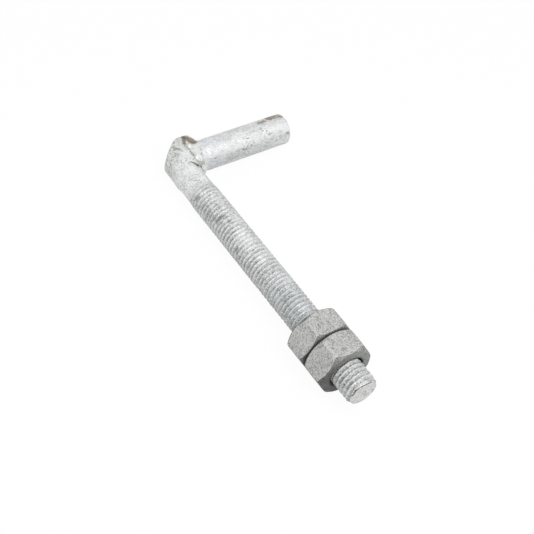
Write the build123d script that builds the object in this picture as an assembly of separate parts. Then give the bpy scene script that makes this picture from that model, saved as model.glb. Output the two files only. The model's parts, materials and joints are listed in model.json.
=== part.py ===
"""J bolt: a threaded rod turned through a square corner into a plain pintle, with two hex nuts.

Every piece is drawn straight, with the rod's axis along X, the pintle's along Y and their
crossing at the origin. It is then laid in its rest attitude: the pintle and the inner nut
touch the ground, so the rod's tip is raised by REST_TILT. The finished pieces have their
origin on the pintle's axis at the collar line, where the knuckle stops an eye that is dropped
on the pintle. Millimetres, +Z up.
"""
from build123d import *
import math
import os

# ---- driving dimensions -------------------------------------------------------------------
THREAD_D = 15.6          # over the crests of a 5/8-11 UNC thread, after rolling
THREAD_START = 25.5      # first full thread, measured from the pintle's axis
THREAD_RAMP = 2.0        # run-out between the neck and the first full thread
ROD_END = 158.6          # flat end face of the rod
TIP_ROUND = 1.0          # drop of the rounded-over start of the thread, at the end face
NECK_DROP = 0.45         # how far the rolled-down neck lies below the plain rod
NECK_START = 12.2        # where the plain rod starts to narrow
NECK_RAMP = 2.4          # soft shoulder between the plain rod and the neck
ROD_D = 15.7             # plain rod between the corner and the neck

PINTLE_D = 16.3          # zinc included
PINTLE_LENGTH = 49.5     # from the collar line to the end face
COLLAR_STEP = 0.2        # how far the root lies below the pin
PINTLE_EDGE = 1.2        # rounding of the end face's edge

SWELL = 0.35             # how far the corner stands out from the plain rod
SWELL_SHIFT = (0.6, 0.4) # the corner's centre line, moved towards the pintle and up
SWELL_END = 5.0          # where the swelling starts to fade into the rod
HEEL_ANGLE = 49.0        # slope of the flattened heel, from the rod's axis
HEEL_DEPTH = 5.5         # distance of the heel's flat from the two axes' crossing
HEEL_ROUND = 1.2         # softened edge of the heel's flat
LAP_AT = 6.2             # the lap crease where the pintle leaves the corner
LAP_HEIGHT = 6.3         # height of the pintle's flattened root at the crease

# the lump behind the root of the pintle, drawn in multiples of the pintle's radius
KNUCKLE_PLAN = ((-0.55, 0), (-1.47, 0.66), (-1.74, 1.01), (-1.77, 1.35), (-1.50, 1.60),
                (-1.01, 1.72), (-0.37, 1.79), (-0.18, 1.47), (-0.18, 0))
KNUCKLE_CENTRE = -0.76   # axis of its rounded front and back
KNUCKLE_LIFT = 0.15      # height of that axis, which keeps its underside off the ground, in mm
KNUCKLE_CROWN = (-1.52, 1.10, 0.69)   # a point on its sloping top
CROWN_NORMAL = (-0.20, 0.26, 1.0)
KNUCKLE_INSET = 0.2      # how far it lies below the corner's own radius
KNUCKLE_ROUND = 1.0      # softened corners of its plan
COLLAR_CLEAR = 0.2       # from the front of the knuckle to the collar line

WEB_R = 4.4              # rounded bar of metal across the inside of the bend
WEB_REACH = 14.5         # its outer side, from the two axes' crossing
WEB_SINK = 2.2           # how far it lies below the axes

NUT_AF = 26.0            # across flats
NUT_THICK = 13.2
NUT_EDGE = 0.8           # rounding of the six long edges
NUT_CHAMFER_R = 12.6     # circle where the chamfer meets the end face
NUT_CHAMFER = 40.0       # chamfer angle, from the end face
NUT_CLEAR = 0.10         # radial clearance of the bore over the thread's crests
NUT_SINK = 0.9           # countersink at both ends of the bore
NUT_GAP = 0.3            # seam between the two nuts
TIP_STUB = 12.5          # how far the rod stands out of the outer nut

# ---- derived ------------------------------------------------------------------------------
THREAD_R = THREAD_D / 2
ROD_R = ROD_D / 2
NECK_R = ROD_R - NECK_DROP
PINTLE_R = PINTLE_D / 2
ROOT_R = PINTLE_R - COLLAR_STEP
SWELL_R = ROD_R + SWELL
KNUCKLE_R = SWELL_R - KNUCKLE_INSET
HEEL_BACK = -KNUCKLE_PLAN[2][0] * PINTLE_R   # the corner ends level with the knuckle
WEB_LENGTH = 1.5 * ROD_R         # both ends of the bar are inside the rod and the pintle
# the pin takes its full diameter at the collar line, just in front of the knuckle
COLLAR_AT = max(y for x, y in KNUCKLE_PLAN) * PINTLE_R + COLLAR_CLEAR
PINTLE_END = COLLAR_AT + PINTLE_LENGTH
BORE_R = THREAD_R + NUT_CLEAR
OUTER_NUT_AT = ROD_END - TIP_STUB - NUT_THICK
INNER_NUT_AT = OUTER_NUT_AT - NUT_GAP - NUT_THICK
# the nut's lower flat and the pintle's underside end up level
NUT_FOOT_X = INNER_NUT_AT + (NUT_AF / 2 - NUT_CHAMFER_R) * math.tan(math.radians(NUT_CHAMFER))
NUT_FOOT_R = math.hypot(NUT_FOOT_X, NUT_AF / 2)
REST_TILT = math.degrees(math.atan2(NUT_AF / 2, NUT_FOOT_X) - math.asin(PINTLE_R / NUT_FOOT_R))

BIG = 4 * PINTLE_D       # size of a block that cuts everything on one side of a plane
ON_PLANE = (Align.CENTER, Align.CENTER, Align.MIN)


def bar_x(radius, start, end, y=0.0, z=0.0):
    """A round bar along X."""
    return Pos(start, y, z) * Rot(0, 90, 0) * Cylinder(radius, end - start, align=ON_PLANE)


def bar_y(radius, start, end, x=0.0, z=0.0):
    """A round bar along Y."""
    return Pos(x, start, z) * Rot(-90, 0, 0) * Cylinder(radius, end - start, align=ON_PLANE)


def beyond(origin, normal):
    """Everything on the far side of a plane, for cutting."""
    return Plane(origin=origin, z_dir=normal) * Box(BIG, BIG, BIG, align=ON_PLANE)


def revolved(profile):
    """Turn a closed (x, radius) outline about the X axis."""
    with BuildPart() as part:
        with BuildSketch(Plane.XY):
            with BuildLine():
                Polyline(*profile, close=True)
            make_face()
        revolve(axis=Axis.X)
    return part.part


def make_shank():
    """Rolled-down neck, thread blank over the crests, and the softened tip."""
    return revolved([
        (NECK_START, 0), (NECK_START, ROD_R), (NECK_START + NECK_RAMP, NECK_R),
        (THREAD_START - THREAD_RAMP, NECK_R), (THREAD_START, THREAD_R),
        (ROD_END - 2 * TIP_ROUND, THREAD_R), (ROD_END - TIP_ROUND / 2, THREAD_R - TIP_ROUND / 2),
        (ROD_END, THREAD_R - TIP_ROUND), (ROD_END, 0),
    ])


def make_corner():
    """The swollen end of the rod, flattened obliquely at the heel."""
    y, z = SWELL_SHIFT
    body = bar_x(SWELL_R, -BIG / 2, SWELL_END, y, z)
    swollen = Plane.YZ.offset(SWELL_END) * Pos(y, z) * Circle(SWELL_R)
    plain = Plane.YZ.offset(NECK_START) * Circle(ROD_R)
    body += loft(Sketch() + [swollen, plain])
    slope = math.radians(HEEL_ANGLE)
    out = (-math.sin(slope), -math.cos(slope), 0)
    body -= beyond((out[0] * HEEL_DEPTH, out[1] * HEEL_DEPTH, 0), out)
    heel = [e for e in body.edges() if e.center().X < 0 and e.geom_type != GeomType.LINE]
    body = fillet(heel, HEEL_ROUND)
    return body - beyond((-HEEL_BACK, 0, 0), (-1, 0, 0))


def make_knuckle():
    """The lump standing proud behind the root of the pintle."""
    with BuildPart() as plan:
        with BuildSketch(Plane.XY.offset(-PINTLE_D)):
            with BuildLine():
                Polyline(*[(x * PINTLE_R, y * PINTLE_R) for x, y in KNUCKLE_PLAN], close=True)
            make_face()
            fillet(vertices(), KNUCKLE_ROUND)
        extrude(amount=2 * PINTLE_D)
    round_bar = bar_y(KNUCKLE_R, -PINTLE_D, 2 * PINTLE_D, KNUCKLE_CENTRE * PINTLE_R, KNUCKLE_LIFT)
    lump = plan.part & round_bar
    # the crown slopes from the top of the pintle down to the back
    return lump - beyond(tuple(v * PINTLE_R for v in KNUCKLE_CROWN), CROWN_NORMAL)


def make_web():
    """The metal that fills the inside of the bend, a bar laid across it at 45 degrees."""
    side = (WEB_REACH - WEB_R) / math.sqrt(2)
    bar = Rot(90, 0, 0) * Cylinder(WEB_R, WEB_LENGTH)
    return Pos(side, side, -WEB_SINK) * Rot(0, 0, 45) * bar


def make_pintle():
    """The plain pin, with its flattened root, collar line and rounded end."""
    pin = bar_y(PINTLE_R, COLLAR_AT, PINTLE_END)
    pin = fillet(pin.edges().sort_by(Axis.Y)[-1], PINTLE_EDGE)
    pin = chamfer(pin.edges().filter_by(GeomType.CIRCLE).sort_by(Axis.Y)[0], COLLAR_STEP * 0.9)
    root = bar_y(ROOT_R, 0, COLLAR_AT)
    rise = (ROOT_R - LAP_HEIGHT) / (COLLAR_AT - LAP_AT)
    for side in (1, -1):
        root -= beyond((0, LAP_AT, side * LAP_HEIGHT), (0, -rise, side))
    return root + pin


def make_bolt():
    """The one-piece hook bolt."""
    return make_shank() + make_corner() + make_pintle() + make_knuckle() + make_web()


def make_nut(start):
    """A hex nut chamfered on both faces, with its bend-side face at start."""
    with BuildPart() as nut:
        with BuildSketch(Plane.YZ.offset(start)):
            RegularPolygon(radius=NUT_AF / 2, side_count=6, major_radius=False)
        extrude(amount=NUT_THICK)
        fillet(nut.edges().filter_by(Axis.X), NUT_EDGE)
    end = start + NUT_THICK
    over = NUT_AF * 0.65          # beyond the hexagon's corners
    drop = (over - NUT_CHAMFER_R) * math.tan(math.radians(NUT_CHAMFER))
    turned = revolved([
        (start, 0), (start, NUT_CHAMFER_R), (start + drop, over), (end - drop, over),
        (end, NUT_CHAMFER_R), (end, 0),
    ])
    bore = revolved([
        (start - NUT_SINK, 0), (start - NUT_SINK, BORE_R + 2 * NUT_SINK), (start + NUT_SINK, BORE_R),
        (end - NUT_SINK, BORE_R), (end + NUT_SINK, BORE_R + 2 * NUT_SINK), (end + NUT_SINK, 0),
    ])
    return (nut.part & turned) - bore


def lay_down(shape):
    """Turn a straight piece into its rest attitude, tip raised, origin at the collar line."""
    return Pos(0, -COLLAR_AT, 0) * Rot(0, -REST_TILT, 0) * shape


pieces = {
    "hook_bolt": make_bolt(),
    "inner_nut": make_nut(INNER_NUT_AT),
    "outer_nut": make_nut(OUTER_NUT_AT),
}
os.makedirs("parts", exist_ok=True)
for name, shape in pieces.items():
    laid = lay_down(shape)
    export_step(laid, f"parts/{name}.step")
    box = laid.bounding_box()
    print(name, "volume", round(laid.volume, 1), "solids", len(laid.solids()), "valid", laid.is_valid,
          "box", [round(v, 2) for v in (*box.min, *box.max)])
print("rest tilt", round(REST_TILT, 3), "collar at", round(COLLAR_AT, 4))
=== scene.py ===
# %% [markdown]
# # A galvanised hook bolt and its two nuts
#
# The real thing is one steel bar: a long threaded rod, a rolled neck, a corner that was folded hot,
# and a plain round pintle that a gate's eye drops over. Two heavy hex nuts sit near the tip. All of
# it was dipped in molten zinc, which leaves a pale, mottled, slightly lumpy skin.
#
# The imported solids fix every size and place. This lesson gives them their thread, the soft forged
# look of the corner, and the zinc.

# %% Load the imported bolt
import json
import math

import bmesh
import bpy
import numpy as np
from mathutils import Matrix, Vector, noise


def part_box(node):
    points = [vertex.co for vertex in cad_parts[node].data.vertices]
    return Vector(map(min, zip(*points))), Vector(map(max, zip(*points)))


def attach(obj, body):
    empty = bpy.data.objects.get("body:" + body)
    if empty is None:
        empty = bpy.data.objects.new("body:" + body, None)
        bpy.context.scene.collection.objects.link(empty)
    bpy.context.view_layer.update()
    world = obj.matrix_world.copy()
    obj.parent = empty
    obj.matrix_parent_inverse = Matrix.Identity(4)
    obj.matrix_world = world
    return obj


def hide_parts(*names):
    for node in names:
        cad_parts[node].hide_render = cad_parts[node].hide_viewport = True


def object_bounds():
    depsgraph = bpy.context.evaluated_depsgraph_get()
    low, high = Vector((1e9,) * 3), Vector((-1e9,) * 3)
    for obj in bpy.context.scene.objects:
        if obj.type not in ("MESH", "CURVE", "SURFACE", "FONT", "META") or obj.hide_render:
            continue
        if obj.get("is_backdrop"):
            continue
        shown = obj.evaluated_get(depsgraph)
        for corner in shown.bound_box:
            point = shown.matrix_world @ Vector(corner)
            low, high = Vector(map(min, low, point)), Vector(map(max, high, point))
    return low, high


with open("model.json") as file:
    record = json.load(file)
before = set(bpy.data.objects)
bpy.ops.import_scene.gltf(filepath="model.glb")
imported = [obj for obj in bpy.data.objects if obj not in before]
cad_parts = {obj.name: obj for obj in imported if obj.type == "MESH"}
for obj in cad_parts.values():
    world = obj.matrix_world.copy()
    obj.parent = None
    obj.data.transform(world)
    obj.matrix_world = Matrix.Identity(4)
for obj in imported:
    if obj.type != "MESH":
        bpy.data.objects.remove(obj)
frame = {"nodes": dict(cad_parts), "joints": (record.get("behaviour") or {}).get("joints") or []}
cad_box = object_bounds()
MM = 0.001

# %% [markdown]
# ## The rod's own axes
#
# The bolt lies with its tip a little raised, so its thread doesn't run along a world axis. It is far
# easier to draw everything straight, in millimetres, and to let one matrix lay it down. The joint's
# axis gives the direction of the rod, and the middle of a nut is a point on it.

# %% Lay out the rod's frame
along = Vector(frame["joints"][0]["axis"]).normalized()
pintle_way = Vector((0, 1, 0))
upward = along.cross(pintle_way)


def middle(node):
    """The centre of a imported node's box."""
    low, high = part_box(node)
    return (low + high) / 2


a_nut = middle("inner_nut")
crossing = a_nut - along * (a_nut.x / along.x)
ROD = Matrix.Translation(crossing) @ Matrix((along, pintle_way, upward)).transposed().to_4x4()
print("axes cross at", [round(v / MM, 2) for v in crossing], "mm")


def place(name, bm, body, node):
    """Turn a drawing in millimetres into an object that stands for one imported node."""
    mesh = bpy.data.meshes.new(name)
    bmesh.ops.recalc_face_normals(bm, faces=bm.faces)
    bm.to_mesh(mesh)
    bm.free()
    mesh.transform(ROD @ Matrix.Scale(MM, 4))
    for face in mesh.polygons:
        face.use_smooth = True
    piece = bpy.data.objects.new(name, mesh)
    bpy.context.scene.collection.objects.link(piece)
    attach(piece, body)
    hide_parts(node)
    print(name, len(mesh.polygons), "faces")
    return piece


def ease(low, high, value):
    """0 below low, 1 above high, and a soft step between."""
    t = min(1.0, max(0.0, (value - low) / (high - low)))
    return t * t * (3 - 2 * t)


# %% [markdown]
# ## The thread
#
# A thread could be a screw modifier or a swept triangle, but then its start and its run-out need
# patching. Here the rod is one grid of rings. Each point asks how many turns it is from a crest, and
# that alone sets its radius, so the thread can fade out, wear down and fill with zinc at will.
# 5/8-11 means eleven turns to the inch.

# %% Shape of the thread
PITCH = 25.4 / 11
CREST_R = 7.8
GROOVE_R = 6.85
NECK_R = 7.4
THREAD_FROM, THREAD_FULL = 23.2, 28.0
SHARPER_FROM = (70.0, 100.0)     # the crests grow narrower over this stretch
STUB_FROM = (144.0, 147.0)       # and over this one the rod comes out of the nuts
ROD_END = 158.6
TIP_DROP = 1.0                   # how far the last turn is rounded over
WORN_CREST = 0.22                # how far a worn crest lies below a sharp one
STUB_CRUMBS = 0.22               # unevenness of the stub
# a place on the rod, and the angle round it, where a crest passes
CREST_AT, CREST_ANGLE = 28.8, math.radians(121.2)
CREST_PHASE = CREST_AT - PITCH * CREST_ANGLE / math.tau
# the two sides that zinc ran down: above towards the pintle, and below away from it
FILLED_ABOVE, FILLED_BELOW = math.radians(52), math.radians(215)


def tooth(x, angle):
    """0 in the groove and 1 on the crest of a right-hand thread."""
    turns = (x - CREST_PHASE) / PITCH - angle / math.tau
    away = abs(turns % 1.0 - 0.5) * 2
    return ease(0.05, 0.75 + 0.2 * ease(*SHARPER_FROM, x), away)


def rod_noise(x, angle, per_mm, per_turn):
    """Smooth noise on the rod, at its own fineness along and around it."""
    return noise.noise(Vector((x * per_mm, per_turn * math.cos(angle), per_turn * math.sin(angle))))


def zinc_fill(x, angle):
    """How much of the groove is filled with run-down zinc, from 0 to 1."""
    above = ease(0.50, 0.90, math.cos(angle - FILLED_ABOVE))
    below = ease(0.70, 0.97, math.cos(angle - FILLED_BELOW))
    lumps = rod_noise(x, angle, 0.09, 1.8)
    crumbs = rod_noise(x, angle, 0.8, 7.0)
    share = 0.12 + (0.50 + 0.5 * lumps) * above + 0.60 * below + 0.3 * lumps + 0.35 * crumbs
    return min(0.9, max(0.0, share)) * (1 - 0.45 * ease(*STUB_FROM, x))


def rod_radius(x, angle):
    """Radius of the threaded rod over the zinc."""
    grown = ease(THREAD_FROM, THREAD_FULL, x)
    worn = WORN_CREST * ease(0.0, 0.45, rod_noise(x + 40, angle, 0.9, 8.0))
    crest = NECK_R + (CREST_R - worn - NECK_R) * grown
    groove = NECK_R + (GROOVE_R - NECK_R) * grown
    groove += (crest - groove) * zinc_fill(x, angle)
    radius = groove + (crest - groove) * tooth(x, angle)
    radius += STUB_CRUMBS * ease(*STUB_FROM, x) * rod_noise(x, angle, 1.5, 9.0)
    tip = ease(ROD_END - 2.2 * TIP_DROP, ROD_END + 0.4, x)
    return radius - (radius - (CREST_R - TIP_DROP)) * tip


# %% [markdown]
# ## The folded corner
#
# The corner is a forging, with no true edges: the dip rounds off everything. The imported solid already
# has its heel, knuckle and lap, so a copy of it is cut off at the neck and rebuilt from small voxels.
# Smoothing then does what the zinc did. The lap crease is pushed in along a line, and a fine wobble
# takes away the machined look.

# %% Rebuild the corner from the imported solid
VOXEL = 0.42
SMOOTHINGS = 5
SAME_POINT = 0.002       # points closer than this are one
NECK_CUT = 20.0          # where the corner ends and the threaded rod takes over
SPARE_NECK = 3.0         # kept beyond it for now, so that smoothing leaves the neck its size
LAP_TOP, LAP_TURN, LAP_FOOT = (8.5, 2.5, 7.8), (11.2, 4.5, 6.6), (9.8, 8.6, 1.6)
CREASES = (
    # from, to, width, depth
    ((-6.5, 5.4, 8.0), (5.5, 6.6, 6.1), 0.9, 0.45),
    (LAP_TOP, LAP_TURN, 0.8, 0.4),
    (LAP_TURN, LAP_FOOT, 0.9, 0.5),
)


def to_segment(point, start, end):
    """Distance from a point to a straight line between two others."""
    run = end - start
    share = min(1.0, max(0.0, (point - start).dot(run) / run.length_squared))
    return (point - start - run * share).length


def cut_off_beyond(bm, x):
    """Take away everything further along the rod than x."""
    everything = bm.verts[:] + bm.edges[:] + bm.faces[:]
    bmesh.ops.bisect_plane(bm, geom=everything, plane_co=(x, 0, 0), plane_no=(1, 0, 0),
                           clear_outer=True)


def softened_corner():
    """The corner and pintle as one soft mesh, closed a little beyond the neck."""
    source = frame["nodes"]["hook_bolt"].data.copy()
    source.transform(Matrix.Scale(1 / MM, 4) @ ROD.inverted())
    bm = bmesh.new()
    bm.from_mesh(source)
    bmesh.ops.remove_doubles(bm, verts=bm.verts, dist=SAME_POINT)
    cut_off_beyond(bm, NECK_CUT + SPARE_NECK)
    bmesh.ops.holes_fill(bm, edges=[e for e in bm.edges if e.is_boundary])
    bm.to_mesh(source)
    bm.free()
    blank = bpy.data.objects.new("corner_blank", source)
    bpy.context.scene.collection.objects.link(blank)
    voxels = blank.modifiers.new("voxels", "REMESH")
    voxels.mode = "VOXEL"
    voxels.voxel_size = VOXEL
    ready = blank.evaluated_get(bpy.context.evaluated_depsgraph_get())
    bm = bmesh.new()
    bm.from_mesh(ready.to_mesh())
    bpy.data.objects.remove(blank)
    for _ in range(SMOOTHINGS):
        bmesh.ops.smooth_vert(bm, verts=bm.verts, factor=0.5, use_axis_x=True, use_axis_y=True,
                              use_axis_z=True)
    return bm


def wobble(point):
    """Unevenness of the zinc skin, in millimetres."""
    return 0.05 * noise.noise(point * 0.35) + 0.025 * noise.noise(point * 1.1)


bolt = softened_corner()
bolt.normal_update()
moves = []
for vert in bolt.verts:
    push = wobble(vert.co)
    for start, end, width, depth in CREASES:
        gap = to_segment(vert.co, Vector(start), Vector(end)) / width
        push -= depth * math.exp(-gap * gap)
    moves.append(vert.normal * push)
for vert, move in zip(bolt.verts, moves):
    vert.co += move
print("corner:", len(bolt.faces), "faces")

# %% [markdown]
# ## One piece from corner to tip
#
# The corner ends in a ragged ring of voxel points and the threaded rod starts with a regular one.
# Bridging the two rings gives a single skin, as the real bar has, with no hidden joint in the neck.

# %% Grow the threaded rod from the neck
SEGMENTS = 76
RINGS_PER_TURN = 12
NECK_GAP = 0.5           # along the rod, for the faces that bridge the two rings
FACE_SHARES = (0.94, 0.8, 0.55, 0.25)    # radii of the rings on the end face, as shares of its own
cut_off_beyond(bolt, NECK_CUT)
neck_ring = [e for e in bolt.edges if e.is_boundary]


def ring(bm, x, radius_at):
    """A closed ring of points about the rod's axis."""
    points = []
    for k in range(SEGMENTS):
        angle = math.tau * k / SEGMENTS
        out = Vector((0, math.cos(angle), math.sin(angle)))
        point = Vector((x, 0, 0)) + out * radius_at(x, angle)
        points.append(bm.verts.new(point + out * wobble(point)))
    return points


def join_rings(bm, first, second):
    """Faces between two rings of the same count."""
    count = len(first)
    return [bm.faces.new((first[k], first[(k + 1) % count], second[(k + 1) % count], second[k]))
            for k in range(count)]


start_x = NECK_CUT + NECK_GAP
steps = round((ROD_END - start_x) / PITCH * RINGS_PER_TURN)
rings = [ring(bolt, start_x + (ROD_END - start_x) * i / steps, rod_radius) for i in range(steps + 1)]
for first, second in zip(rings, rings[1:]):
    join_rings(bolt, first, second)
# the end face, sheared flat and then dipped
face_rings = [rings[-1]]
for share in FACE_SHARES:
    face_rings.append(ring(bolt, ROD_END, lambda x, a, s=share: s * (CREST_R - TIP_DROP)))
for first, second in zip(face_rings, face_rings[1:]):
    join_rings(bolt, first, second)
bolt.faces.new(face_rings[-1])
start_ring = [bolt.edges.get((rings[0][k], rings[0][(k + 1) % SEGMENTS])) for k in range(SEGMENTS)]
bmesh.ops.bridge_loops(bolt, edges=neck_ring + start_ring)
hook_bolt = place("hook_bolt_dressed", bolt, "bolt", "hook_bolt")

# %% [markdown]
# ## Masks kept on the mesh
#
# The bolt has more dark stains and crowds of specks than a material should measure at every sample.
# Their places are worked out once for each mesh point and kept as two attributes, and the material only
# reads them and roughens their edges.

# %% Stains on the thread and crowds of specks
def on_rod(x, degrees):
    """A point on the thread's crests."""
    angle = math.radians(degrees)
    return (x, CREST_R * math.cos(angle), CREST_R * math.sin(angle))


# where on the rod, from angle, to angle, width, strength
THREAD_STAINS = (
    (29.2, 138, 152, 0.9, 0.6), (35.0, 128, 138, 0.8, 0.5), (35.4, 54, 60, 0.7, 0.4),
    (44.5, 128, 150, 0.9, 0.5), (46.8, 110, 148, 1.1, 0.7), (49.1, 128, 148, 0.8, 0.5),
    (51.4, 106, 112, 0.8, 0.6), (55.6, 114, 128, 0.8, 0.6), (58.2, 152, 164, 0.9, 0.5),
    (65.7, 148, 154, 0.9, 0.7), (72.2, 104, 112, 0.8, 0.6), (73.8, 70, 76, 0.8, 0.5),
    (74.0, 97, 103, 0.8, 0.6), (77.2, 150, 158, 0.8, 0.6), (78.8, 112, 118, 0.7, 0.5),
    (81.0, 66, 74, 0.7, 0.5),
)
STAINS = tuple((on_rod(x, first), on_rod(x, last), width, strength)
               for x, first, last, width, strength in THREAD_STAINS)
# where dark specks crowd together: from, to, width, strength
CLUSTERS = (
    ((3.2, 48.4, 7.4), (5.6, 51.6, 6.0), 1.7, 0.85), ((7.4, 33.6, 3.5), (7.1, 42.6, 4.1), 1.7, 0.8),
    ((3.9, 36.4, 7.1), (5.1, 38.4, 6.3), 1.0, 0.8), ((8.1, 34.6, -0.4), (8.1, 37.4, -0.4), 0.9, 0.8),
    ((8.0, 50.0, 1.8), (7.9, 55.0, 2.2), 1.8, 0.6), ((0.8, 31.0, 8.1), (0.8, 34.5, 8.1), 1.0, 0.6),
    ((8.0, 22.0, 0.6), (7.8, 27.0, 2.2), 1.4, 0.6), ((-2.2, -4.8, 6.8), (1.0, -4.6, 6.8), 2.0, 0.8),
    ((-0.4, -6.7, 4.3), (3.6, -6.7, 4.1), 1.6, 0.8), ((-3.6, -1.6, 8.2), (-0.4, -2.4, 8.2), 1.6, 0.6),
    ((6.4, -3.0, 7.6), (9.2, 0.0, 8.1), 1.6, 0.6),
)


def keep_mask(piece, name, lines):
    """Store, for each mesh point, how strongly the nearest of some soft lines covers it.

    A line is at its full strength out to half its width, and is gone at one and a half.
    """
    count = len(piece.data.vertices)
    flat = np.empty(count * 3)
    piece.data.vertices.foreach_get("co", flat)
    back = np.array(ROD.inverted())
    points = (flat.reshape(count, 3) @ back[:3, :3].T + back[:3, 3]) / MM
    mask = np.zeros(count)
    for start, end, width, strength in lines:
        start = np.array(start)
        run = np.array(end) - start
        share = np.clip((points - start) @ run / (run @ run), 0, 1)
        gap = np.linalg.norm(points - start - share[:, None] * run, axis=1)
        mask = np.maximum(mask, strength * np.clip(1.5 - gap / width, 0, 1))
    piece.data.attributes.new(name, "FLOAT", "POINT").data.foreach_set("value", mask)
    print(name, "covers", int((mask > 0).sum()), "of", count, "points")


keep_mask(hook_bolt, "stains", STAINS)
keep_mask(hook_bolt, "crowding", CLUSTERS)

# %% [markdown]
# ## The nuts
#
# A hex nut is a hexagon cut by two shallow cones, and the curved edges where they meet are what makes
# it look right. Drawn as a fan of spokes, each spoke knows where the hexagon ends at its own angle, so
# the chamfer's curves come out by themselves. Spokes are close together at the six corners.
#
# The turned ends took less zinc than the flats. On the outer nut's side towards the bend that shows only
# on the flat face, while the inner nut's whole chamfer there takes the dark end finish as painted shade.

# %% Shape of a nut
NUT_FLAT = 13.0          # from the axis to a flat
NUT_THICK = 13.2
CORNER_ROUND = 1.8
CHAMFER_FROM = 12.6      # radius of the flat end face
CHAMFER_SLOPE = math.tan(math.radians(40))
BORE_R = 7.9
BORE_THREAD = 0.42       # depth of the nut's own thread
SINK = 0.9               # of the countersink, both wide and deep
FACE_MIDDLE = 10.4       # radius of an extra hoop on the end face
BORE_STEPS = 24
BEND_STEPS = (0.0, 0.2, 0.4, 0.6, 0.8, 1.0)
FLAT_STEPS = 5           # points at the end of a spoke that belong to the flats
SKIN_FROM = 9.0          # radius from which the zinc is lumpy
FACE_MARGIN = 0.15       # how far past the flat end face its finish reaches
ENDS, BORE = 1, 2        # slots of the darker ends and of the bore's painted shade; the flats have the first, 0
SPOKES = (0, 0.9, 1.8, 3.2, 6, 10, 15, 20, 25, 30, 35, 40, 45, 50, 54, 56.8, 58.2, 59.1)


def hex_radius(degrees):
    """Distance from the axis to the hexagon's rounded outline, with a corner at 0 degrees."""
    from_corner = math.radians(min(degrees % 60, 60 - degrees % 60))
    round_centre = (NUT_FLAT - CORNER_ROUND) / math.cos(math.pi / 6)
    across = round_centre * math.sin(from_corner)
    if across < CORNER_ROUND * 0.5:
        return round_centre * math.cos(from_corner) + math.sqrt(CORNER_ROUND ** 2 - across ** 2)
    return NUT_FLAT / math.cos(math.pi / 6 - from_corner)


def spoke(degrees):
    """Points (x, radius) round half a nut's section, from mid bore to mid side."""
    outer = hex_radius(degrees)
    bore_end = NUT_THICK / 2 - SINK
    points = [(bore_end * i / BORE_STEPS, BORE_R) for i in range(BORE_STEPS)]
    points += [(NUT_THICK / 2, radius) for radius in (BORE_R + SINK, FACE_MIDDLE, CHAMFER_FROM)]
    # the chamfer runs into the side through a soft bend, wide at the corners and crisp between them
    run = outer - CHAMFER_FROM
    chamfer_x = NUT_THICK / 2 - run * CHAMFER_SLOPE
    first = (NUT_THICK / 2 - 0.5 * run * CHAMFER_SLOPE, CHAMFER_FROM + 0.5 * run)
    last = (chamfer_x - 0.6 * run, outer)
    for t in BEND_STEPS:
        x = first[0] * (1 - t) ** 2 + chamfer_x * 2 * t * (1 - t) + last[0] * t ** 2
        radius = first[1] * (1 - t) ** 2 + outer * 2 * t * (1 - t) + last[1] * t ** 2
        points.append((x, radius))
    points.append((last[0] * 0.5, outer))
    return points


def nut_mesh(centre_x, seed, shaded_back):
    """A nut drawn about a point on the rod's axis, its ends darker and its bore painted near-black as
    shade.

    With a shaded back, the whole chamfer on the side of the bend counts as part of the end, as painted
    shade.
    """
    bm = bmesh.new()
    hoops = []
    angles = [60 * sector + offset for sector in range(6) for offset in SPOKES]
    columns = []
    for degrees in angles:
        half = spoke(degrees)
        back = [(-x, radius) for x, radius in reversed(half)]
        columns.append(half + [(0.0, half[-1][1])] + back[:-1])
    for row in range(len(columns[0])):
        hoop = []
        for degrees, column in zip(angles, columns):
            x, radius = column[row]
            angle = math.radians(degrees)
            if radius == BORE_R:
                radius += BORE_THREAD * (1 - tooth(centre_x + x, angle))
            out = Vector((0, math.cos(angle), math.sin(angle)))
            point = Vector((x, 0, 0)) + out * radius
            lump = 0.05 * noise.noise(point * 0.45 + Vector((seed, 0, 0))) if radius > SKIN_FROM else 0
            hoop.append(bm.verts.new(point + Vector((centre_x, 0, 0)) + out * lump))
        hoops.append(hoop)
    ends = []
    half_count = len(spoke(0))
    for row in range(len(hoops)):
        faces = join_rings(bm, hoops[row], hoops[(row + 1) % len(hoops)])
        mirrored = min(row, len(hoops) - 2 - row)
        if mirrored < half_count - FLAT_STEPS:
            ends += faces
    for face in ends:
        centre = face.calc_center_median() - Vector((centre_x, 0, 0))
        radius = math.hypot(centre.y, centre.z)
        if radius < BORE_R + SINK:
            face.material_index = BORE
        elif centre.x > 0 or shaded_back or radius < CHAMFER_FROM + FACE_MARGIN:
            face.material_index = ENDS
    return bm


nuts = []
centres = []
for seed, node in enumerate(("inner_nut", "outer_nut")):
    centre_x = (ROD.inverted() @ middle(node)).x / MM
    drawn_nut = nut_mesh(centre_x, 7.3 * seed, shaded_back=node == "inner_nut")
    nut = place(node + "_dressed", drawn_nut, node, node)
    nut.data.set_sharp_from_angle(angle=math.radians(36))
    nuts.append(nut)
    centres.append(centre_x)
    print(node, "centre at", round(centre_x, 2), "mm along the rod")

# %% [markdown]
# ## Effects that both zinc skins share
#
# Three effects turn up on every piece: the cloudy mottle of the zinc, its small pits, and marks such as
# stains, scratches, rust, painted shade and highlights. Each is a node group with named sockets, built
# once.
#
# The mottle gives several masks at a time: broad clouds, pale flecks, fine pale veins, dark crumbs, and
# specks, which are the crumbs where they crowd together. A mark is a soft line between two points. When
# the points are close together it is a spot.

# %% Helpers for drawing nodes
def add(tree, kind, inputs=None, **settings):
    """Add a node, set its options, and set or link its inputs by name or number."""
    made = tree.nodes.new(kind)
    for name, value in settings.items():
        setattr(made, name, value)
    for name, value in (inputs or {}).items():
        if isinstance(value, bpy.types.NodeSocket):
            tree.links.new(value, made.inputs[name])
        else:
            made.inputs[name].default_value = value
    return made


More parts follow.
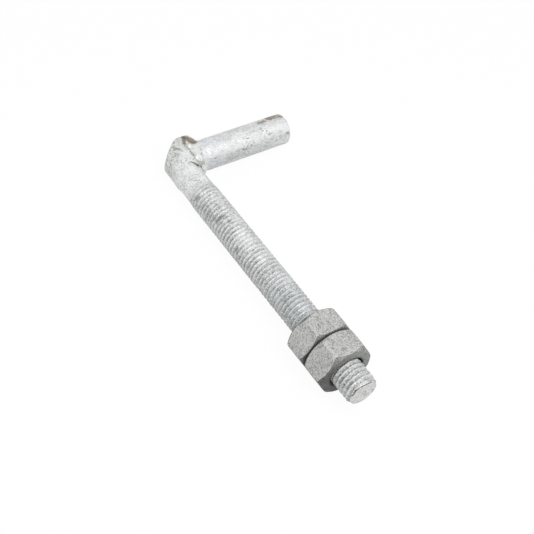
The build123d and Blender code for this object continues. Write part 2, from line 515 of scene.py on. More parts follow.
def calc(tree, operation, first, second=0.0, third=0.0, clamp=False):
    """One sum on two numbers, or on three."""
    inputs = {0: first, 1: second, 2: third}
    return add(tree, "ShaderNodeMath", inputs, operation=operation, use_clamp=clamp).outputs[0]


def vector_math(tree, operation, first, second=(0, 0, 0)):
    """One sum on two vectors."""
    return add(tree, "ShaderNodeVectorMath", {0: first, 1: second}, operation=operation)


def span(tree, value, low, high):
    """0 at low, 1 at high, soft between."""
    made = add(tree, "ShaderNodeMapRange", {"Value": value, "From Min": low, "From Max": high},
               interpolation_type="SMOOTHSTEP")
    return made.outputs[0]


def fall(tree, value, low, high):
    """1 at low, 0 at high, soft between."""
    return calc(tree, "SUBTRACT", 1.0, span(tree, value, low, high))


def blend_colour(tree, factor, under, over):
    """Lay one colour over another."""
    made = add(tree, "ShaderNodeMix", data_type="RGBA")
    for socket, value in zip((made.inputs[0], made.inputs[6], made.inputs[7]), (factor, under, over)):
        if isinstance(value, bpy.types.NodeSocket):
            tree.links.new(value, socket)
        else:
            socket.default_value = value
    return made.outputs[2]


def lay_over(tree, colour, mask, strength, paint):
    """Lay a paint over a colour, as strongly as a mask and a strength say."""
    return blend_colour(tree, calc(tree, "MULTIPLY", mask, strength), colour, paint)


def new_group(name, inputs, outputs):
    """An empty node group with named sockets."""
    tree = bpy.data.node_groups.new(name, "ShaderNodeTree")
    for label, kind, default in inputs:
        socket = tree.interface.new_socket(label, in_out="INPUT", socket_type=kind)
        socket.default_value = default
    for label in outputs:
        tree.interface.new_socket(label, in_out="OUTPUT", socket_type="NodeSocketFloat")
    return tree, tree.nodes.new("NodeGroupInput"), tree.nodes.new("NodeGroupOutput")


# %% Cloudy mottle of the zinc
mottle, given, result = new_group("zinc mottle", [
    ("Point", "NodeSocketVector", (0, 0, 0)), ("Patch", "NodeSocketFloat", 5.0),
    ("Grain", "NodeSocketFloat", 0.7)], ["Clouds", "Specks", "Flecks", "Veins", "Crumbs", "Height"])


def clouding(size, shift, detail, roughness):
    """Noise with lumps of one size, in a field of its own."""
    moved = vector_math(mottle, "ADD", given.outputs["Point"], (shift, shift * 0.6, -shift)).outputs[0]
    return add(mottle, "ShaderNodeTexNoise", {
        "Vector": moved, "Scale": calc(mottle, "DIVIDE", 1.0, size), "Detail": detail,
        "Roughness": roughness, "Distortion": 0.5}).outputs[0]


patches = clouding(given.outputs["Patch"], 0.0, 4.0, 0.6)
clusters = clouding(calc(mottle, "MULTIPLY", given.outputs["Patch"], 1.3), 31.0, 3.0, 0.65)
grains = clouding(given.outputs["Grain"], 7.0, 1.5, 0.5)
wandering = clouding(calc(mottle, "MULTIPLY", given.outputs["Grain"], 2.2), 53.0, 1.0, 0.5)
clouds = span(mottle, patches, 0.36, 0.66)
dark_grain = fall(mottle, grains, 0.36, 0.47)
specks = calc(mottle, "MULTIPLY", dark_grain, span(mottle, clusters, 0.34, 0.60))
flecks = span(mottle, grains, 0.50, 0.60)
from_middle = calc(mottle, "ABSOLUTE", calc(mottle, "SUBTRACT", wandering, 0.5))
veins = fall(mottle, from_middle, 0.01, 0.06)
relief = calc(mottle, "ADD", calc(mottle, "MULTIPLY", clouds, 0.4), calc(mottle, "MULTIPLY", grains, 0.9))
for label, mask in (("Clouds", clouds), ("Specks", specks), ("Flecks", flecks), ("Veins", veins),
                    ("Crumbs", dark_grain), ("Height", relief)):
    mottle.links.new(mask, result.inputs[label])
print("group:", mottle.name)

# %% Small pits
pitting, given, result = new_group("pits", [
    ("Point", "NodeSocketVector", (0, 0, 0)), ("Spacing", "NodeSocketFloat", 1.5),
    ("Reach", "NodeSocketFloat", 0.3), ("Amount", "NodeSocketFloat", 0.4)], ["Mask"])
cells = add(pitting, "ShaderNodeTexVoronoi", {
    "Vector": given.outputs["Point"], "Scale": calc(pitting, "DIVIDE", 1.0, given.outputs["Spacing"])})
near = fall(pitting, cells.outputs["Distance"], 0.05, given.outputs["Reach"])
chosen = add(pitting, "ShaderNodeTexNoise", {
    "Vector": cells.outputs["Position"], "Scale": 3.1, "Detail": 0.0})
kept = span(pitting, chosen.outputs[0], calc(pitting, "SUBTRACT", 0.75, given.outputs["Amount"]), 0.78)
pitting.links.new(calc(pitting, "MULTIPLY", near, kept), result.inputs["Mask"])
print("group:", pitting.name)

# %% Marks: stains, rust, scratches, painted shade and painted highlights
marking, given, result = new_group("mark", [
    ("Point", "NodeSocketVector", (0, 0, 0)), ("From", "NodeSocketVector", (0, 0, 0)),
    ("To", "NodeSocketVector", (0, 0, 1)), ("Width", "NodeSocketFloat", 1.0),
    ("Ragged", "NodeSocketFloat", 0.5)], ["Mask"])
ragged = add(marking, "ShaderNodeTexNoise", {
    "Vector": given.outputs["Point"], "Scale": 0.9, "Detail": 4.0, "Roughness": 0.7})
run = vector_math(marking, "SUBTRACT", given.outputs["To"], given.outputs["From"]).outputs[0]
offset = vector_math(marking, "SUBTRACT", given.outputs["Point"], given.outputs["From"]).outputs[0]
share = calc(marking, "DIVIDE", vector_math(marking, "DOT_PRODUCT", offset, run).outputs[1],
             vector_math(marking, "DOT_PRODUCT", run, run).outputs[1], clamp=True)
foot = add(marking, "ShaderNodeVectorMath", {0: run, "Scale": share}, operation="SCALE").outputs[0]
away = vector_math(marking, "DISTANCE", offset, foot).outputs[1]
torn = calc(marking, "MULTIPLY", calc(marking, "SUBTRACT", ragged.outputs[0], 0.5),
            calc(marking, "MULTIPLY", given.outputs["Ragged"], 4.0))
reach = calc(marking, "ADD", calc(marking, "DIVIDE", away, given.outputs["Width"]), torn)
marking.links.new(fall(marking, reach, 0.55, 1.05), result.inputs["Mask"])
print("group:", marking.name)


# %% Start a zinc material
def zinc(name, roughness, metallic):
    """A material with its shader, and the surface point in millimetres in the rod's frame."""
    material = bpy.data.materials.new(name)
    material.use_nodes = True
    tree = material.node_tree
    shader = tree.nodes["Principled BSDF"]
    shader.inputs["Metallic"].default_value = metallic
    shader.inputs["Roughness"].default_value = roughness
    where = add(tree, "ShaderNodeTexCoord").outputs["Object"]
    back = ROD.inverted()
    point = add(tree, "ShaderNodeMapping", {
        "Vector": where, "Scale": (1 / MM,) * 3, "Rotation": back.to_euler(),
        "Location": back.translation / MM}).outputs[0]
    return material, tree, shader, point


def coordinates(tree, point):
    """The surface point's X, Y and Z, and its distance from the rod's axis."""
    split = add(tree, "ShaderNodeSeparateXYZ", {0: point})
    section = vector_math(tree, "MULTIPLY", point, (0, 1, 1)).outputs[0]
    return (*split.outputs, vector_math(tree, "LENGTH", section).outputs[1])


def towards_outline(tree, full):
    """0 where the surface faces the eye, and 1 where it has turned edge-on."""
    facing = add(tree, "ShaderNodeLayerWeight", {"Blend": 0.5}).outputs["Facing"]
    return span(tree, facing, 0.60, full)


def use(tree, group, **inputs):
    """Place a shared effect in a material."""
    made = add(tree, "ShaderNodeGroup", node_tree=group)
    for name, value in inputs.items():
        socket = made.inputs[name]
        if isinstance(value, bpy.types.NodeSocket):
            tree.links.new(value, socket)
        else:
            socket.default_value = value
    return made


def raise_surface(tree, shader, height, depth_mm):
    """Feed a height to the shader's normal."""
    bump = add(tree, "ShaderNodeBump", {"Height": height, "Strength": 1.0, "Distance": depth_mm * MM})
    tree.links.new(bump.outputs["Normal"], shader.inputs["Normal"])


# %% [markdown]
# ## The bolt's zinc
#
# Light, bluish and cloudy. On the pintle the clouds are drawn out along its length, where the bar was
# rolled. In the thread the crests carry a painted highlight and the grooves painted shade, which darkens
# the colour with depth below the crest. Rust shows on the knuckle and near the pintle's end, where the
# zinc was thin.
#
# The masks come first. Each says, from 0 to 1, how far a point lies in one place: in the thread, on the
# pintle, on the heel, in the bottom of a groove.

# %% Places on the bolt
# where one skin gives way to the next, along the rod
NECK_ENDS = (22.0, 27.0)
# over this stretch the painted shade on the rod's low side grows
LOW_SHADE_FROM = (48.0, 66.0)
BLUER_FROM = (74.0, 108.0)
# and along the pintle
CORNER_ENDS = (11.0, 15.0)
ROOT_SHEEN_ENDS = (18.0, 34.0)
# painted shade and a painted highlight in stripes on the pintle: degrees from its top towards the rod's
# tip, and the heights, measured that way, where a stripe begins and where it is full
SHADED_STRIPE = (110, 4.0, 6.3)
# painted shade along the pintle's top edge
TOP_EDGE_SHADE = (-18, 7.3, 8.0)
# a painted highlight along the pintle
HIGHLIGHT_STRIPE = (43, 7.2, 8.0)
# the rod's side facing the camera, with painted shade further out: a direction from the axis, two heights
RIDGE_WAY = (0, -0.515, 0.857)
RIDGE_HEIGHTS = (6.0, 7.3)
bolt_zinc, tree, shader, point = zinc("bolt_zinc", 0.46, 0.35)
at_x, at_y, at_z, radius = coordinates(tree, point)
in_thread = span(tree, at_x, *NECK_ENDS)
further_out = span(tree, at_x, *LOW_SHADE_FROM)
on_stub = span(tree, at_x, *STUB_FROM)
cool = calc(tree, "MULTIPLY", span(tree, at_x, *BLUER_FROM), calc(tree, "SUBTRACT", 1.0, on_stub))
on_face = span(tree, at_x, ROD_END - 0.35, ROD_END - 0.1)
on_pintle = span(tree, at_y, *CORNER_ENDS)
on_root = calc(tree, "MULTIPLY", on_pintle, fall(tree, at_y, *ROOT_SHEEN_ENDS))
on_corner = calc(tree, "MULTIPLY", fall(tree, at_x, *NECK_ENDS), fall(tree, at_y, *CORNER_ENDS))
on_heel = fall(tree, calc(tree, "ADD", at_x, at_y), -4.0, 7.0)
groove = calc(tree, "MULTIPLY", fall(tree, radius, GROOVE_R + 0.1, CREST_R - 0.2), in_thread)
bottom = calc(tree, "MULTIPLY", fall(tree, radius, GROOVE_R + 0.05, GROOVE_R + 0.3), in_thread)
crest = calc(tree, "MULTIPLY", span(tree, radius, CREST_R - 0.2, CREST_R - 0.02), in_thread)
low_side = calc(tree, "MULTIPLY", fall(tree, at_z, -3.0, 6.0), in_thread)
low_edge = calc(tree, "MULTIPLY", low_side, towards_outline(tree, 0.95))
low_edge = calc(tree, "MULTIPLY", low_edge, further_out)
ridge = vector_math(tree, "DOT_PRODUCT", point, RIDGE_WAY).outputs[1]
ridge_top = calc(tree, "MULTIPLY", cool, span(tree, ridge, *RIDGE_HEIGHTS))


def along_pintle(degrees, low, high):
    """A stripe on the pintle."""
    turn = math.radians(degrees)
    height = vector_math(tree, "DOT_PRODUCT", point, (math.sin(turn), 0, math.cos(turn))).outputs[1]
    return calc(tree, "MULTIPLY", span(tree, height, low, high), on_pintle)


# the mottle, stretched to suit each place
stretch = vector_math(tree, "MULTIPLY", point, (1.0, 0.45, 1.0)).outputs[0]
drawn = use(tree, mottle, Point=stretch, Patch=3.6, Grain=0.62)
cloudy = use(tree, mottle, Point=point, Patch=4.2, Grain=0.8)
squeezed = vector_math(tree, "MULTIPLY", point, (1.3, 0.7, 0.7)).outputs[0]
dashed = use(tree, mottle, Point=squeezed, Patch=3.6, Grain=0.55)
coarse = use(tree, mottle, Point=point, Patch=6.0, Grain=1.8)


def skin(label):
    """One mask of the mottle, drawn out along the pintle, dashed round the thread, plain elsewhere."""
    made = add(tree, "ShaderNodeMix", {0: on_pintle, 2: cloudy.outputs[label], 3: drawn.outputs[label]})
    made = add(tree, "ShaderNodeMix", {0: in_thread, 2: made.outputs[0], 3: dashed.outputs[label]})
    return made.outputs[0]


print("places on the bolt:", len(tree.nodes), "nodes")

# %% [markdown]
# Some layers aren't equally strong everywhere. The painted shade in the grooves is stronger in some
# stretches than in others, and the painted shade on the rod's low side grows further out and is gone on
# the stub. Such a strength is a sum on the masks: a base, plus what a place adds or takes away.

# %% Strengths that vary
# noise that varies the painted shade in the grooves
groove_shade_noise = add(tree, "ShaderNodeTexNoise", {
    "Vector": point, "Scale": 0.16, "Detail": 3.0, "Roughness": 0.6}).outputs[0]
groove_shade = calc(tree, "MULTIPLY_ADD", span(tree, groove_shade_noise, 0.36, 0.62), 0.3, 0.45)
groove_shade = calc(tree, "MULTIPLY_ADD", on_stub, -0.18, groove_shade, clamp=True)
# painted shade on the rod's low side: stronger further out, none on the stub
low_side_share = calc(tree, "MULTIPLY_ADD", further_out, 0.28, 0.24)
low_side_share = calc(tree, "MULTIPLY_ADD", on_stub, -0.52, low_side_share)
# painted shade at the bottom of the grooves, stronger on the stub and kept off the pale flecks
bottom_share = calc(tree, "MULTIPLY", calc(tree, "MULTIPLY_ADD", on_stub, 0.3, 0.3),
                    calc(tree, "SUBTRACT", 1.0, skin("Flecks")))
# the pintle's painted shade fades near its end; its painted highlight grows past the root, fades at the
# end
shaded_share = calc(tree, "MULTIPLY_ADD", span(tree, at_y, 48.0, 58.0), -0.38, 0.40)
highlight_share = calc(tree, "MULTIPLY_ADD", span(tree, at_y, 20.0, 34.0), 0.30, 0.15)
highlight_share = calc(tree, "MULTIPLY_ADD", span(tree, at_y, 50.0, 58.0), -0.25, highlight_share)
fleck_share = calc(tree, "MULTIPLY_ADD", on_corner, 0.17, 0.38)
speck_share = calc(tree, "MULTIPLY_ADD", in_thread, 0.4, 0.3)
speck_share = calc(tree, "MULTIPLY_ADD", on_corner, 0.25, speck_share)
print("strengths:", len(tree.nodes), "nodes so far")


# %% Layers of colour
def tint(mask, strength, paint):
    """Lay a paint over the bolt's colour so far."""
    return lay_over(tree, colour, mask, strength, paint)


colour = blend_colour(tree, skin("Clouds"), (0.54, 0.55, 0.545, 1), (0.77, 0.785, 0.785, 1))
# a painted highlight: a bluish sheen on the pintle's root
colour = tint(on_root, 0.3, (0.80, 0.84, 0.92, 1))
colour = tint(on_corner, 0.25, (0.92, 0.93, 0.94, 1))
# painted shade on the pintle's low side and along its top edge
colour = tint(along_pintle(*SHADED_STRIPE), shaded_share, (0.36, 0.37, 0.375, 1))
colour = tint(along_pintle(*TOP_EDGE_SHADE), 0.24, (0.42, 0.43, 0.45, 1))
colour = tint(cool, 0.5, (0.46, 0.51, 0.56, 1))
colour = tint(in_thread, 0.52, (0.42, 0.43, 0.43, 1))
# painted shade on the rod's low side
colour = tint(low_side, low_side_share, (0.36, 0.37, 0.37, 1))
# painted shade on the side of the rod that faces the camera
colour = tint(ridge_top, 0.45, (0.40, 0.44, 0.47, 1))
# painted shade in the grooves, near black at their bottom, and a painted highlight on the crests
colour = tint(groove, groove_shade, (0.25, 0.26, 0.265, 1))
colour = tint(bottom, bottom_share, (0.07, 0.07, 0.07, 1))
colour = tint(crest, 0.4, (0.94, 0.95, 0.95, 1))
colour = tint(on_face, 0.75, (0.82, 0.815, 0.79, 1))
colour = tint(skin("Flecks"), fleck_share, (0.95, 0.95, 0.94, 1))
colour = tint(skin("Veins"), 0.25, (0.93, 0.93, 0.92, 1))
# a painted highlight along the pintle
colour = tint(along_pintle(*HIGHLIGHT_STRIPE), highlight_share, (0.94, 0.95, 0.96, 1))
colour = tint(skin("Specks"), speck_share, (0.25, 0.26, 0.25, 1))
colour = tint(on_heel, 0.30, (0.44, 0.46, 0.41, 1))
colour = tint(calc(tree, "MULTIPLY", coarse.outputs["Specks"], on_heel), 0.6, (0.27, 0.28, 0.26, 1))
pits = use(tree, pitting, Point=point, Spacing=1.5, Reach=0.30, Amount=0.30)
colour = tint(pits.outputs[0], 0.5, (0.26, 0.27, 0.27, 1))
print("layers:", len(tree.nodes), "nodes so far")

# %% Rust, stains, scratches and painted shade
BROWN = (0.15, 0.088, 0.055, 1)
DARK_BROWN = (0.095, 0.065, 0.045, 1)
TAN = (0.36, 0.25, 0.17, 1)
RUSTY = blend_colour(tree, skin("Flecks"), BROWN, TAN)
SAND = (0.31, 0.29, 0.235, 1)
DRAB = (0.23, 0.21, 0.175, 1)
OLIVE = (0.12, 0.115, 0.075, 1)
MOSS = (0.34, 0.355, 0.30, 1)
NEAR_BLACK = (0.06, 0.055, 0.05, 1)
SLATE = (0.10, 0.10, 0.095, 1)
GREY = (0.17, 0.175, 0.17, 1)
SILVER = (0.56, 0.57, 0.56, 1)
PALE = (0.80, 0.80, 0.79, 1)
WHITE = (0.90, 0.905, 0.90, 1)
RUST = (
    # from, to, width, ragged edge, colour, strength
    ((-9.6, 9.8, 6.1), (-4.9, 10.9, 6.9), 3.0, 0.22, RUSTY, 0.92),
    ((-11.0, 9.0, 6.0), (-5.2, 6.2, 7.6), 1.2, 0.35, DARK_BROWN, 0.75),
    ((-4.2, 10.6, 6.9), (-4.5, 12.8, 6.5), 1.0, 0.5, OLIVE, 0.7),
    ((-9.0, 12.6, 5.6), (-6.0, 13.0, 6.0), 0.8, 0.5, OLIVE, 0.5),
    ((-3.2, 56.6, 7.3), (-3.2, 58.4, 7.3), 3.0, 0.25, RUSTY, 0.85),
    ((-3.2, 59.6, 7.3), (-2.8, 61.8, 7.4), 2.9, 0.25, SAND, 0.75),
    ((-1.4, 61.8, 7.9), (-0.6, 62.8, 7.9), 0.9, 0.4, DARK_BROWN, 0.5),
    ((-1.6, 49.0, 8.0), (-1.8, 52.4, 8.0), 1.3, 0.6, DRAB, 0.8),
)
CORNER_MARKS = (
    ((-3.0, 8.0, 7.0), (4.4, 8.6, 6.6), 2.0, 0.35, SILVER, 0.25),
    ((7.3, 6.8, 5.0), (7.6, 9.2, 2.6), 1.5, 0.3, MOSS, 0.6),
    ((-5.0, 5.7, 7.7), (-1.0, 6.6, 6.9), 0.9, 0.3, DRAB, 0.7),
    ((-1.0, 6.6, 6.9), (3.0, 6.6, 6.4), 0.8, 0.15, DRAB, 0.6),
    ((3.0, 6.6, 6.4), (5.4, 6.4, 5.8), 0.7, 0.15, GREY, 0.4),
    ((8.6, 2.1, 7.9), (10.3, 4.7, 6.0), 0.7, 0.15, OLIVE, 0.9),
    ((10.3, 4.7, 6.0), (10.5, 5.9, 5.3), 0.8, 0.15, OLIVE, 0.95),
    ((9.7, 7.2, 3.8), (8.8, 8.3, 1.8), 0.8, 0.15, DARK_BROWN, 0.9),
    ((9.4, 8.7, 0.9), (10.3, 10.1, -1.6), 0.6, 0.2, GREY, 0.6),
    # painted shade: a faint grey line along the collar where the pintle begins
    ((0.9, 11.8, 7.2), (4.4, 10.8, 6.4), 0.8, 0.3, GREY, 0.2),
    ((4.4, 10.8, 6.4), (7.4, 10.4, 2.8), 0.9, 0.3, GREY, 0.3),
    ((5.2, 10.0, 5.9), (6.6, 9.8, 4.2), 0.5, 0.4, WHITE, 0.3),
    ((1.0, 2.0, 8.6), (4.2, 3.4, 8.2), 2.6, 0.5, WHITE, 0.35),
    ((-3.8, -1.2, 8.4), (-1.4, 0.4, 8.6), 0.8, 0.4, GREY, 0.55),
    ((-1.4, 0.8, 8.6), (0.4, 1.4, 8.6), 0.8, 0.4, GREY, 0.45),
    ((20.0, -3.0, 6.7), (21.4, -0.6, 7.3), 0.35, 0.2, GREY, 0.6),
)
PINTLE_MARKS = (
    ((7.3, 16.8, 3.5), (7.5, 18.2, 3.2), 0.5, 0.7, GREY, 0.45),
    ((7.1, 61.6, 3.6), (7.3, 62.3, 3.3), 0.7, 0.5, GREY, 0.7),
    ((8.0, 24.0, 0.5), (7.6, 34.0, 2.8), 2.4, 1.0, MOSS, 0.12),
    ((2.4, 54.0, 7.8), (3.6, 60.0, 7.3), 3.4, 0.4, WHITE, 0.35),
)
ROD_MARKS = (
    (on_rod(61.0, 105), on_rod(69.0, 105), 4.0, 0.6, WHITE, 0.3),
    (on_rod(103.0, 125), on_rod(109.0, 125), 3.0, 0.6, GREY, 0.2),
    (on_rod(35.0, 148), on_rod(44.0, 148), 2.5, 0.7, GREY, 0.22),
)
TIP_MARKS = (
    # a dark ragged line round the edge of the end face
    ((ROD_END, -6.2, 2.0), (ROD_END - 0.2, -5.2, 4.6), 0.5, 0.3, NEAR_BLACK, 0.85),
    ((ROD_END - 0.2, -5.2, 4.6), (ROD_END, -2.2, 6.1), 0.5, 0.35, NEAR_BLACK, 0.85),
    ((ROD_END, -2.2, 6.1), (ROD_END, 2.8, 5.8), 0.5, 0.35, NEAR_BLACK, 0.9),
    ((ROD_END - 1.0, -5.6, 5.2), (ROD_END - 0.8, 0.0, 7.2), 0.9, 0.3, PALE, 0.45),
)
MARKS = RUST + CORNER_MARKS + PINTLE_MARKS + ROD_MARKS + TIP_MARKS
for start, end, width, ragged_edge, paint, strength in MARKS:
    mark = use(tree, marking, Point=point, From=start, To=end, Width=width, Ragged=ragged_edge)
    colour = tint(mark.outputs[0], strength, paint)
# the masks kept on the mesh get torn edges too
edge_noise = add(tree, "ShaderNodeTexNoise", {
    "Vector": point, "Scale": 0.9, "Detail": 4.0, "Roughness": 0.7}).outputs[0]
tearing = calc(tree, "SUBTRACT", edge_noise, 0.5)


def torn_mask(name, full):
    """A mask kept on the mesh, with its edge torn by the noise."""
    mask = add(tree, "ShaderNodeAttribute", attribute_name=name).outputs["Fac"]
    return calc(tree, "MULTIPLY", mask, span(tree, calc(tree, "ADD", mask, tearing), 0.2, full))


colour = tint(torn_mask("stains", 0.5), 0.95, SLATE)
colour = tint(calc(tree, "MULTIPLY", torn_mask("crowding", 0.6), skin("Crumbs")), 0.65, GREY)
# painted shade where the low side turns edge-on, further out
colour = tint(low_edge, 0.6, (0.18, 0.18, 0.18, 1))
tree.links.new(colour, shader.inputs["Base Color"])
print("marks:", len(MARKS))

# %% Relief and gloss
dips = calc(tree, "MULTIPLY", pits.outputs[0], 0.8)
raise_surface(tree, shader, calc(tree, "SUBTRACT", skin("Height"), dips), 0.14)
# the bright patches are also the smoother ones
roughness = calc(tree, "MULTIPLY_ADD", skin("Clouds"), -0.16, 0.50)
roughness = calc(tree, "MULTIPLY_ADD", on_pintle, -0.10, roughness)
roughness = calc(tree, "MULTIPLY_ADD", in_thread, 0.16, roughness)
tree.links.new(roughness, shader.inputs["Roughness"])
hook_bolt.data.materials.append(bolt_zinc)
print("bolt_zinc:", len(tree.nodes), "nodes")

# %% [markdown]
# ## The nuts' zinc
#
# The nuts are duller and warmer than the bolt, with a fine even speckle. Their turned end faces and
# chamfers took less zinc and are clearly darker, with painted shade towards the ground, and the bores
# are painted nearly black as shade. Painted shade also darkens the seam between the nuts, the mouths of
# the bores and the outlines. One function makes all three finishes.

# %% Nut materials
NUT_MARKS = (
    # from, to, width, ragged edge, shade, strength
    # painted highlights along a rounded corner edge of each nut
    ((121.0, -7.4, 13.0), (130.5, -7.4, 13.0), 0.7, 0.9, 1.3, 0.5),
    ((134.4, -7.2, 13.0), (143.4, -7.2, 13.0), 0.8, 0.9, 1.35, 0.6),
    ((122.0, -10.6, 8.0), (125.5, -9.6, 9.6), 1.6, 0.9, 1.35, 0.5),
    ((126.0, -3.9, 13.0), (127.0, -3.6, 13.0), 0.6, 0.6, 0.35, 0.7),
    ((128.6, -9.0, 10.6), (129.2, -8.8, 11.0), 0.5, 0.5, 0.4, 0.6),
    ((134.8, -4.8, 13.0), (135.2, -4.4, 13.0), 0.5, 0.5, 0.4, 0.6),
    # painted shade on the outer nut's top flat
    ((135.0, 0.0, 13.0), (143.0, 4.0, 13.0), 5.0, 0.6, 0.85, 0.35),
    # a broad painted highlight on the inner nut's left flat
    ((122.0, -11.0, 7.0), (129.0, -11.0, 7.0), 4.0, 0.6, 1.15, 0.4),
)
SEAM_AT = sum(centres) / len(centres)
SEAM_SHADE = (0.25, 1.1)         # from the seam, where its painted shade starts to fade and where it ends
RIM_SHADE = (8.7, 10.0)          # from the axis, for the painted shadow round the mouth of a bore
DEEP_SHADE = (0.03, 0.03, 0.028, 1)
SHADE = (0.07, 0.07, 0.068, 1)


def shaded_paint(paint, shade):
    """A colour made lighter or darker, and never quite white."""
    return tuple(min(0.9, v * shade) for v in paint[:3]) + (1,)


def nut_material(name, dark, light, foot=1.0):
    """Matte speckled zinc between two greys, its colour multiplied by foot at the ground as painted
    shade.
    """
    material, tree, shader, point = zinc(name, 0.60, 0.30)
    skin = use(tree, mottle, Point=point, Patch=2.6, Grain=0.62)
    colour = blend_colour(tree, skin.outputs["Clouds"], dark, light)
    for start, end, width, ragged_edge, shade, strength in NUT_MARKS:
        mark = use(tree, marking, Point=point, From=start, To=end, Width=width, Ragged=ragged_edge)
        colour = lay_over(tree, colour, mark.outputs[0], strength, shaded_paint(light, shade))
    for label, strength, shade in (("Flecks", 0.6, 1.4), ("Veins", 0.5, 1.5), ("Specks", 0.8, 0.4)):
        colour = lay_over(tree, colour, skin.outputs[label], strength, shaded_paint(light, shade))
    pits = use(tree, pitting, Point=point, Spacing=1.3, Reach=0.36, Amount=0.36)
    colour = lay_over(tree, colour, pits.outputs[0], 0.5, shaded_paint(dark, 0.4))
    # painted shade: darker towards the ground on the side away from the pintle
    slope = vector_math(tree, "DOT_PRODUCT", point, (0, 0.7, 0.7)).outputs[1]
    shaded = blend_colour(tree, span(tree, slope, -7.0, 11.0), (foot, foot, foot, 1), (1, 1, 1, 1))
    colour = vector_math(tree, "MULTIPLY", colour, shaded).outputs[0]
    # painted shadow round the bore, underneath and on the pintle's side, and painted shade in the seam
    at_x, at_y, _, radius = coordinates(tree, point)
    pintle_side = calc(tree, "MULTIPLY", span(tree, at_y, 4.5, 7.0), 0.75)
    shaded_side = calc(tree, "MAXIMUM", fall(tree, slope, -5.0, 2.0), pintle_side)
    rim = calc(tree, "MULTIPLY", fall(tree, radius, *RIM_SHADE), shaded_side)
    colour = lay_over(tree, colour, rim, 0.7, DEEP_SHADE)
    from_seam = calc(tree, "ABSOLUTE", calc(tree, "SUBTRACT", at_x, SEAM_AT))
    colour = lay_over(tree, colour, fall(tree, from_seam, *SEAM_SHADE), 0.75, DEEP_SHADE)
    # painted shade where the surface turns edge-on to the eye
    colour = lay_over(tree, colour, towards_outline(tree, 0.92), 0.6, SHADE)
    tree.links.new(colour, shader.inputs["Base Color"])
    dips = calc(tree, "MULTIPLY", pits.outputs[0], 0.7)
    raise_surface(tree, shader, calc(tree, "SUBTRACT", skin.outputs["Height"], dips), 0.2)
    return material


flats = nut_material("nut_zinc_flats", (0.345, 0.345, 0.34, 1), (0.465, 0.465, 0.455, 1))
# the end finish gets painted shade towards the ground
ends = nut_material("nut_zinc_ends", (0.23, 0.23, 0.225, 1), (0.34, 0.34, 0.332, 1), 0.42)
# the bore and countersink are painted near black as shade
bore = nut_material("nut_zinc_bore", (0.02, 0.02, 0.02, 1), (0.10, 0.10, 0.098, 1))
for dull in (ends, bore):
    dull.node_tree.nodes["Principled BSDF"].inputs["Specular IOR Level"].default_value = 0.2
for nut in nuts:
    for finish in (flats, ends, bore):
        nut.data.materials.append(finish)
print("nut materials:", flats.name, ends.name, bore.name)

# %% [markdown]
# ## Floor and light
#
# Soft light comes from a wide panel high beyond the tip, and from an even surround. The floor looks white
# to the camera and in reflections, but it stays an ordinary matte grey for the light that falls on
# things, so it still takes a faint shadow.

# %% Floor
FLOOR_GREY = 0.62        # its colour for the light that falls on things
FLOOR_SEEN = 0.35        # how much paler it is to the camera
GLOW_SEEN = 0.95         # share of pure white that the camera sees in it
FLOOR_GAP = 0.0001       # below the bolt, in metres
FLOOR_REACH = 6.0
floor_height = min(corner[2] for corner in cad_box) - FLOOR_GAP
floor_mesh = bpy.data.meshes.new("floor")
floor_mesh.from_pydata([(x * FLOOR_REACH, y * FLOOR_REACH, floor_height)
                        for x, y in ((-1, -1), (1, -1), (1, 1), (-1, 1))], [], [(0, 1, 2, 3)])
floor = bpy.data.objects.new("floor", floor_mesh)
bpy.context.scene.collection.objects.link(floor)
floor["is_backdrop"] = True


def seen_directly(tree):
    """1 for camera, mirror and glass rays, 0 for the light that falls on things."""
    rays = add(tree, "ShaderNodeLightPath")
    seen = calc(tree, "MAXIMUM", rays.outputs["Is Camera Ray"], rays.outputs["Is Glossy Ray"])
    return calc(tree, "MAXIMUM", seen, rays.outputs["Is Transmission Ray"])


pale = bpy.data.materials.new("pale_floor")
pale.use_nodes = True
tree = pale.node_tree
matte = tree.nodes["Principled BSDF"]
matte.inputs["Roughness"].default_value = 1.0
glow = add(tree, "ShaderNodeEmission", {"Color": (1, 1, 1, 1), "Strength": 1.0})
seen = seen_directly(tree)
tree.links.new(calc(tree, "MULTIPLY_ADD", seen, FLOOR_SEEN, FLOOR_GREY), matte.inputs["Base Color"])
mixed = add(tree, "ShaderNodeMixShader", {0: calc(tree, "MULTIPLY", seen, GLOW_SEEN),
                                          1: matte.outputs[0], 2: glow.outputs[0]})
tree.links.new(mixed.outputs[0], tree.nodes["Material Output"].inputs["Surface"])
floor.data.materials.append(pale)
print("floor at", round(floor_height / MM, 2), "mm")

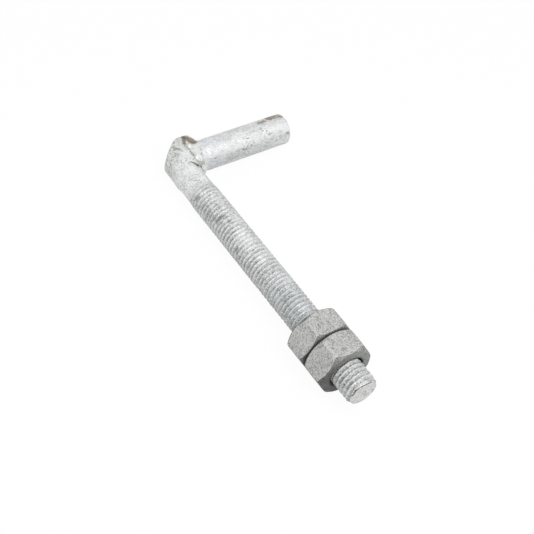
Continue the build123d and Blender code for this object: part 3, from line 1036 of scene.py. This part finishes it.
# %% Sky and lamp
SKY_LIGHT = 0.62
world = bpy.data.worlds.new("studio")
bpy.context.scene.world = world
world.use_nodes = True
tree = world.node_tree
surround = tree.nodes["Background"]
surround.inputs["Color"].default_value = (1, 1, 1, 1)
seen = seen_directly(tree)
strength = calc(tree, "MULTIPLY_ADD", seen, 1 - SKY_LIGHT, SKY_LIGHT)
tree.links.new(strength, surround.inputs["Strength"])


def panel(name, place_at, aim_at, size, watts):
    """A soft square lamp."""
    lamp = bpy.data.lights.new(name, "AREA")
    lamp.size = size
    lamp.energy = watts
    made = bpy.data.objects.new(name, lamp)
    made.location = place_at
    made.rotation_euler = (Vector(aim_at) - Vector(place_at)).to_track_quat("-Z", "Y").to_euler()
    bpy.context.scene.collection.objects.link(made)


panel("overhead", (0.40, -0.10, 0.78), (0.06, -0.01, 0.0), 0.6, 3.8)
print("sky", SKY_LIGHT, "and one lamp")

# %% [markdown]
# ## The camera
#
# It looks down on the bolt at about 49 degrees from beside the tip, close enough for the nuts to look
# larger than the corner, and is rolled a little so that the pintle climbs to the right.

# %% Camera, in the rod's own frame
camera_at = Vector((330.87, -220.56, 367.75)) * MM
forward = Vector((-0.50535, 0.44725, -0.73796)).normalized()
camera_up = Vector((-0.6693, 0.3374, 0.6619))
right = forward.cross(camera_up).normalized()
camera_up = right.cross(forward)
basis = Matrix((right, camera_up, -forward)).transposed().to_4x4()
camera_data = bpy.data.cameras.new("camera")
camera_data.angle = math.radians(28.19)
camera = bpy.data.objects.new("camera", camera_data)
bpy.context.scene.collection.objects.link(camera)
camera.matrix_world = ROD @ Matrix.Translation(camera_at) @ basis
bpy.context.scene.camera = camera
bpy.context.scene.view_settings.view_transform = "Standard"
print("camera at", [round(v, 3) for v in camera.matrix_world.translation])

# %% [markdown]
# ## Both boxes
#
# The dressed bolt must fill the same box as the imported one, so both boxes are printed.

# %% Print both boxes
dressed_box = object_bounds()
sizes = {"cad": [list(corner) for corner in cad_box], "visual": [list(corner) for corner in dressed_box]}
for name, box in sizes.items():
    print(name, "box in mm:", [[round(v / MM, 2) for v in corner] for corner in box])
